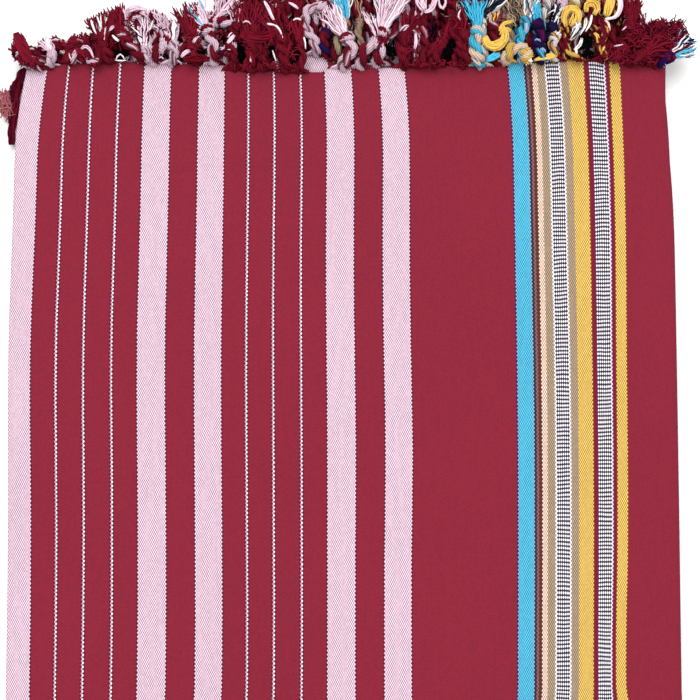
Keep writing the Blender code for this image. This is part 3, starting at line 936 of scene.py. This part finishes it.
def sampled(points, step):
    """Evenly spaced points on a smooth line through the control points."""
    points = np.array(points, dtype=float)
    chord = np.concatenate(([0.0], np.cumsum(np.linalg.norm(np.diff(points, axis=0), axis=1))))
    slopes = np.gradient(points, chord, axis=0)
    dense = np.linspace(0.0, chord[-1], 80)
    k = np.clip(np.searchsorted(chord, dense, side="right") - 1, 0, len(chord) - 2)
    span = (chord[k + 1] - chord[k])[:, None]
    s = (dense[:, None] - chord[k][:, None]) / span
    line = points[k] * (2 * s**3 - 3 * s**2 + 1) + points[k + 1] * (3 * s**2 - 2 * s**3)
    line += (slopes[k] * (s**3 - 2 * s**2 + s) + slopes[k + 1] * (s**3 - s**2)) * span
    run = np.concatenate(([0.0], np.cumsum(np.linalg.norm(np.diff(line, axis=0), axis=1))))
    count = max(int(round(run[-1] / step)), 3) + 1
    even = np.linspace(0.0, run[-1], count)
    return np.stack([np.interp(even, run, line[:, axis]) for axis in range(3)], axis=1), even


def axes_along(line):
    """Forward, sideways and upward axes along a line, without needless turning."""
    forward = np.gradient(line, axis=0)
    forward /= np.linalg.norm(forward, axis=1)[:, None]
    side = np.cross(forward[0], (0.0, 0.0, 1.0))
    sides = []
    for ahead in forward:
        side = side - ahead * side.dot(ahead)
        side = side / np.linalg.norm(side)
        sides.append(side)
    sides = np.array(sides)
    return forward, sides, np.cross(sides, forward)


def seen_at(place, z):
    """Where a place in the picture lies at height z, to a tenth of a millimetre."""
    right = (place[0] - PICTURE_MIDDLE) / LENS_PIXELS
    up = (PICTURE_MIDDLE - place[1]) / LENS_PIXELS
    lean_cos = math.cos(CAMERA_TILT)
    lean_sin = math.sin(CAMERA_TILT)
    camera_z = CAMERA_TARGET[2] + CAMERA_DISTANCE * lean_cos
    run = (z - camera_z) / (up * lean_sin - lean_cos)
    x = CAMERA_TARGET[0] + run * right
    past = CAMERA_TARGET[1] - WOVEN_END_Y - CAMERA_DISTANCE * lean_sin
    past += run * (up * lean_cos + lean_sin)
    return (round(x * 1000, 1) / 1000, WOVEN_END_Y + round(past * 1000, 1) / 1000, z)


def yarn_at(across):
    """The yarn of the warp end so far from the top selvage."""
    end = MIDDLE_END - abs(across / END_PITCH - MIDDLE_END)
    in_border = end < BORDER_ENDS
    place = end if in_border else end - BORDER_ENDS
    if not in_border:
        place = (place + (SKIPPED_ENDS if place > SKIP_AFTER else 0)) % REPEAT_ENDS
    for ends, yarn, alternate in BORDER if in_border else REPEAT:
        place -= ends
        if place < 0:
            return yarn
    return "maroon"


def dyed_colours(names, chance):
    """The colours of a few yarns, each a little lighter or darker than its fellows."""
    colours = []
    for name in names:
        if YARN[name][1] > 0.3:
            colours.append(np.array(YARN[name]) * chance.uniform(0.88, 1.06))
        else:
            colours.append(np.array(YARN[name]) * chance.uniform(0.46, 0.98) * (1.0, 1.15, 1.0))
    return colours


def draw_ply(plies, line, radii, turns, names, chance):
    """A ply of several yarns along a line, with its own twist."""
    colours = dyed_colours(names, chance)
    # Corners alternate: ridges in a yarn's own colour, and grooves between two yarns in painted shade,
    # their mean colour darkened to 0.44 of it.
    around = []
    for k in range(PLY_CORNERS):
        near = colours[(k // 2) % PLY_YARNS]
        around.append(near if k % 2 else (near + colours[(k // 2 - 1) % PLY_YARNS]) * 0.22)
    twist = np.linspace(0.0, turns * 2 * math.pi, len(line))
    slubs = [chance.uniform(0.90, 1.10) for place in range(len(line))]
    radii = radii * np.array(slubs)
    line = line.copy()
    line[:, 2] = np.maximum(line[:, 2], radii * 1.08)
    plies.append((line, radii, twist, np.array(around)))


def draw_knot(plies, middle, forward, side, up, size, names, chance):
    """Two strands wound once round the cord and drawn tight."""
    turn = np.linspace(0.0, 2.3 * math.pi, 13)
    tilt = chance.uniform(0.35, 0.6)
    for strand in range(2):
        angle = turn + strand * math.pi + chance.uniform(-0.3, 0.3)
        along = (turn / turn[-1] - 0.5) * 0.0030 + tilt * 0.0016 * np.sin(angle)
        reach = 0.0019 * size
        line = (
            middle
            + forward * along[:, None]
            + side * (np.cos(angle) * reach)[:, None]
            + up * (np.sin(angle) * reach * 0.85)[:, None]
        )
        radii = 0.00140 * size * np.clip(np.sin(np.linspace(0.25, math.pi - 0.25, 13)) * 2.2, 0.4, 1.0)
        draw_ply(plies, line, radii, 1.5, names[strand], chance)


def draw_tuft(yarns, start, axes, tuft, names, count, size, chance):
    """Loose yarns that fan out of the knot."""
    heading, length, spread, curl = tuft
    forward, side, up = axes
    steps = 9
    for place in range(count):
        fan = (place + chance.uniform(0.0, 1.0)) / count * 2 - 1
        lift = chance.uniform(-1, 1)
        angle = math.radians(heading - fan * spread * 1.15 + chance.gauss(0, 2.5))
        bend = math.radians(curl * chance.uniform(0.7, 1.2) + chance.gauss(0, 16) - fan * spread * 0.4)
        run = length * chance.uniform(0.72, 1.08) / 1000
        share = np.linspace(0.0, 1.0, steps)
        heading_at = angle + bend * (share - 0.3)
        moved = np.stack([np.cos(heading_at), np.sin(heading_at)], axis=1) * run / (steps - 1)
        flat = np.concatenate((np.zeros((1, 2)), np.cumsum(moved[:-1], axis=0)))
        begin = start + side * fan * 0.0013 * size + up * lift * 0.0010 * size
        line = np.zeros((steps, 3))
        line[:, :2] = begin[:2] + flat
        crimp = 0.00028 * np.sin(share * chance.uniform(7, 15) + chance.uniform(0, 6))
        line[:, 0] += crimp * -math.sin(angle)
        line[:, 1] += crimp * math.cos(angle)
        line[:, 2] = begin[2] + (lift * 0.0011 + 0.0007 * chance.uniform(-1, 1)) * share
        line[:, 2] += 0.0008 * np.sin(share * math.pi) * chance.uniform(0.0, 1.0)
        line[:, 2] = np.maximum(line[:, 2], YARN_RADIUS * 1.1)
        radii = YARN_RADIUS * chance.uniform(0.75, 1.15) * np.append(np.ones(steps - 1), 0.55)
        colour = dyed_colours([names[chance.randrange(len(names))]], chance)[0]
        yarns.append((line, radii, np.zeros(steps), np.array([colour] * 3)))


def draw_mat(yarns, middle, reach, heading, spread, length, names, count, chance):
    """Short loose yarns matted over each other within an oval."""
    share = np.linspace(0.0, 1.0, 8)
    for place in range(count):
        around = chance.uniform(0.0, 2 * math.pi)
        out = math.sqrt(chance.random())
        start = middle + np.array((
            math.cos(around) * out * reach[0],
            math.sin(around) * out * reach[1],
            chance.uniform(-0.0008, 0.0008),
        ))
        headings = math.radians(chance.gauss(heading, spread))
        headings = headings + math.radians(chance.gauss(0, 80)) * (share - 0.5)
        headings = headings + 0.5 * np.sin(share * chance.uniform(5, 12) + chance.uniform(0, 6))
        step = length * chance.uniform(0.6, 1.1) / 7
        line = np.zeros((8, 3))
        line[1:, 0] = np.cumsum(np.cos(headings[:-1])) * step
        line[1:, 1] = np.cumsum(np.sin(headings[:-1])) * step
        line = line - line[3] + start
        line[:, 2] += 0.0010 * np.sin(share * math.pi) * chance.random()
        line[:, 2] = np.maximum(line[:, 2], YARN_RADIUS * 1.1)
        radii = YARN_RADIUS * chance.uniform(0.6, 0.95) * np.append(np.ones(7), 0.5)
        colour = dyed_colours([names[chance.randrange(len(names))]], chance)[0]
        yarns.append((line, radii, np.zeros(8), np.array([colour] * 3)))


def draw_bundle(yarns, line, width, names, count, chance):
    """Yarns that run side by side along one line."""
    middle, run = sampled(line, 0.0014)
    forward, side, up = axes_along(middle)
    ends = np.ones(len(middle))
    ends[[0, -1]] = 0.5
    drawn_in = 0.5 + 0.5 * np.sin(np.linspace(0.0, math.pi, len(middle)))
    for place in range(count):
        off = chance.uniform(-0.5, 0.5) * width * drawn_in
        rise = (chance.uniform(0.0, 0.35) * width * drawn_in)[:, None]
        wave = (0.0002 + 0.05 * width) * np.sin(run * chance.uniform(200, 700) + chance.uniform(0, 6))
        path = middle + side * (off + wave)[:, None] + up * rise
        path[:, 2] = np.maximum(path[:, 2], YARN_RADIUS * 1.1)
        radii = YARN_RADIUS * chance.uniform(0.8, 1.15) * ends
        colour = dyed_colours([names[chance.randrange(len(names))]], chance)[0]
        yarns.append((path, radii, np.zeros(len(path)), np.array([colour] * 3)))


def draw_root(yarns, root, cord_start, names, chance):
    """Warp ends gathered from a centimetre of the cloth's end into the cord."""
    for place in range(9):
        off = (place - 4) * 0.00115
        begin = np.array(root) + (off, -0.0002, 0.0)
        target = cord_start + np.array((off * 0.30, 0.0, 0.0004 * chance.uniform(-1, 1)))
        middle = begin * 0.5 + target * 0.5 + np.array((off * 0.18, 0.0, 0.0))
        line = np.array((begin, begin * 0.7 + middle * 0.3, middle, target))
        line[:, 2] = np.maximum(line[:, 2], 0.00055)
        side = names[0] if place < 5 else names[1]
        colour = dyed_colours([side[chance.randrange(len(side))]], chance)[0]
        radii = np.array((0.00030, 0.0004, 0.0005, 0.0005))
        yarns.append((line, radii, np.zeros(4), np.array([colour] * 3)))


def across_at(layer, x):
    """Metres from the top selvage of a layer's point near the woven end."""
    wide = x / PULLED_IN_SHARE
    left, right = LAYERS[layer]
    share = min(max((wide - left) / (right - left), 0.0), 1.0)
    first, last = LAYER_ENDS[layer]
    return first + (last - first) * (1 - share if layer % 2 == 0 else share)


LAYER_ENDS = []
for layer in range(4):
    found = [column[4] for column in columns if column[0] == layer]
    LAYER_ENDS.append((found[0], found[TOP_COLUMNS if layer == 0 else UNDER_COLUMNS]))


def draw_tassel(strands, root, cord, tuft, ply_names, tuft_names, size, count, chance):
    """One tassel: its root, the twisted cord, the knot and the tuft."""
    plies, yarns = strands
    step = 0.0009 if count > 20 else 0.0012
    line, run = sampled([root] + cord, step)
    forward, side, up = axes_along(line)
    turn = PLY_TURN * chance.uniform(0.88, 1.15)
    opened = np.exp(-run / 0.0022)
    offset = PLY_OFFSET * size * (1 + 0.55 * opened)
    for strand in range(2):
        angle = 2 * math.pi * run / turn + strand * math.pi
        ply = (
            line
            + side * (np.cos(angle) * offset)[:, None]
            + up * (np.sin(angle) * offset * (1 - 0.75 * opened))[:, None]
        )
        radii = PLY_RADIUS * size * (1 - 0.55 * opened)
        radii[-1] *= 0.6
        draw_ply(plies, ply, radii, run[-1] / 0.011, ply_names[strand], chance)
    draw_knot(plies, line[-1], forward[-1], side[-1], up[-1], size, ply_names, chance)
    axes = (forward[-1], side[-1], up[-1])
    draw_tuft(yarns, line[-1] + forward[-1] * 0.0012, axes, tuft, tuft_names, count, size, chance)
    draw_root(yarns, root, line[min(4, len(line) - 1)], ply_names, chance)


def own_yarns(layer, x, chance):
    """The yarns of the two plies of a tassel, as they lie in the cloth above it."""
    sides = []
    for strand in (-1, 1):
        places = [x + strand * chance.uniform(0.0, 0.0052) for yarn in range(PLY_YARNS)]
        sides.append([yarn_at(across_at(layer, place)) for place in places])
    return sides


def beside_gaps(x, row):
    """The upper cords part round the deep gaps between the roots, the lower ones close them."""
    for gap in DEEP_GAPS:
        if row < 3 and abs(x - gap) < 0.0070:
            return gap + (x - gap) * 0.25 + 0.0016 * (row - 1)
        if row > 3 and abs(x - gap) < 0.0048:
            return gap + math.copysign(0.0048, x - gap)
    return x


def tubes(name, strands, section):
    """All strands of one section as a closed mesh, with their colours and lengths."""
    corners = len(section.data.splines[0].points)
    data = bpy.data.curves.new(name, "CURVE")
    data.dimensions = "3D"
    data.bevel_mode = "OBJECT"
    data.bevel_object = section
    for line, radii, twist, colours in strands:
        spline = data.splines.new("POLY")
        spline.points.add(len(line) - 1)
        spline.points.foreach_set("co", np.column_stack((line, np.ones(len(line)))).ravel())
        spline.points.foreach_set("radius", radii)
        spline.points.foreach_set("tilt", twist)
    holder = bpy.data.objects.new(name, data)
    bpy.context.scene.collection.objects.link(holder)
    bpy.context.view_layer.update()
    graph = bpy.context.evaluated_depsgraph_get()
    mesh = bpy.data.meshes.new_from_object(holder.evaluated_get(graph))
    bpy.data.objects.remove(holder)
    colours = np.concatenate([np.tile(s[3], (len(s[0]), 1)) for s in strands])
    colours = np.column_stack((colours, np.ones(len(colours))))
    layer = mesh.color_attributes.new(name="yarn", type="FLOAT_COLOR", domain="POINT")
    layer.data.foreach_set("color", colours.ravel())
    lengths = [np.linalg.norm(np.diff(s[0], axis=0), axis=1).sum() for s in strands]
    loops = [(len(s[0]) - 1) * corners * 4 for s in strands]
    uvs = np.empty(len(mesh.loops) * 2, dtype=np.float32)
    mesh.uv_layers[0].data.foreach_get("uv", uvs)
    uvs[0::2] *= np.repeat(lengths, loops)
    uvs[0::2] += np.repeat(np.arange(len(strands)) * 0.013, loops)
    mesh.uv_layers[0].data.foreach_set("uv", uvs)
    return mesh


def finish_row(name, node, strands):
    bm = bmesh.new()
    sections = (("plies", strands[0], ply_outline), ("yarns", strands[1], yarn_outline))
    for kind, group, section in sections:
        mesh = tubes(name + "_" + kind, group, section)
        bm.from_mesh(mesh)
        bpy.data.meshes.remove(mesh)
    bmesh.ops.holes_fill(bm, edges=[edge for edge in bm.edges if edge.is_boundary], sides=0)
    bmesh.ops.recalc_face_normals(bm, faces=bm.faces[:])
    for face in bm.faces:
        face.smooth = len(face.verts) == 4
        face.material_index = 0
    mesh = bpy.data.meshes.new(name)
    bm.to_mesh(mesh)
    bm.free()
    mesh.materials.clear()
    mesh.materials.append(yarn_material)
    piece = bpy.data.objects.new(name, mesh)
    bpy.context.scene.collection.objects.link(piece)
    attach(piece, "root")
    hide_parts(node)
    return piece


posed = {(entry[0], entry[1]): entry[2:] for entry in POSED}
for row in range(8):
    chance = random.Random(40 + row)
    layer = row if row < 4 else 7 - row
    node = f"fringe_{'lower' if row < 4 else 'upper'}_end_{layer + 1}"
    layer_z = MIDDLE_Z + (-1 if row < 4 else 1) * (TURN_RADIUS - layer * LAYER_PITCH)
    level = PILE_BASE + PILE_PITCH * row
    size = 0.84 if row == 0 else 1.0
    strands = ([], [])
    for index in range(TASSELS_PER_ROW):
        share = (index + 0.5 + (0.25 if row % 2 else -0.25)) / TASSELS_PER_ROW
        entry = posed.get((row, index))
        if entry:
            ply_text, lift, thick, cord_seen, (*tuft, count), tuft_text = entry
            x = seen_at(cord_seen[0], CAMERA_TARGET[2])[0]
            ply_names = []
            for text in ply_text.split():
                mixed = text.split("/")
                ply_names.append([mixed[place % len(mixed)] for place in range(PLY_YARNS)])
            for names in ply_names:
                for place in range(PLY_YARNS):
                    if chance.random() < 0.10:
                        names[place] = yarn_at(across_at(layer, x + chance.uniform(-0.008, 0.008)))
            tuft_names = tuft_text.split()
            root = (x, WOVEN_END_Y + end_past(share, row), layer_z)
            height = level + lift / 1000
            cord = [seen_at(place, height) for place in cord_seen[1:]]
        else:
            x = (TASSEL_SPAN[0] + (TASSEL_SPAN[1] - TASSEL_SPAN[0]) * share) * PULLED_IN_SHARE
            end_y = WOVEN_END_Y + end_past(share, row)
            root = (x, end_y, layer_z)
            reach = np.interp(share, *zip(*TASSEL_REACH)) / 1000
            reach *= chance.uniform(0.92, 1.06)
            lean = 0.008 * (x / HALF_WIDTH) ** 3 + 0.0016 * math.sin(x / 0.084 * 2 * math.pi + 0.8)
            sway = [chance.gauss(0, 0.0011) for place in range(3)]
            cord = [
                (beside_gaps(x + lean * 0.3 + sway[0], row), end_y + min(reach * 0.28, 0.006), level),
                (beside_gaps(x + lean * 0.7 + sway[1], row), end_y + reach * 0.46, level),
                (x + lean + sway[2], end_y + reach * 0.62, level),
            ]
            heading = 90 - math.degrees(lean / reach) + chance.gauss(0, 14)
            tuft = (heading, reach * 360, chance.uniform(12, 24), chance.gauss(0, 18))
            ply_names = own_yarns(layer, x, chance)
            tuft_names = ply_names[0] + ply_names[1]
            count = 18
            thick = size
        if row == 0 and index == 0:
            cord = [(*seen_at(place, STRAY_HEIGHT)[:2], level) for place in STRAY_CORD]
            tuft = STRAY_TUFT
            ply_names = [["maroon"] * PLY_YARNS, ["wine"] * PLY_YARNS]
            tuft_names = ["maroon", "wine"]
            count = 30
        draw_tassel(
            strands, root, cord, tuft, ply_names, tuft_names, thick, count, chance
        )
    for mat_row, names, lift, middle, reach, heading, spread, length, count in MATS:
        if mat_row == row:
            middle = np.array(seen_at(middle, level + lift / 1000))
            reach = (reach[0] / 1000, reach[1] / 1000)
            draw_mat(
                strands[1], middle, reach, heading, spread, length / 1000, names.split(), count, chance
            )
    for loose_row, names, lift, count, width, seen in LOOSE:
        if loose_row == row:
            line = [seen_at(place, level + lift / 1000) for place in seen]
            draw_bundle(strands[1], line, width / 1000, names.split(), count, chance)
    finish_row(node.replace("fringe", "tassels"), node, strands)
bpy.data.objects.remove(ply_outline)
bpy.data.objects.remove(yarn_outline)
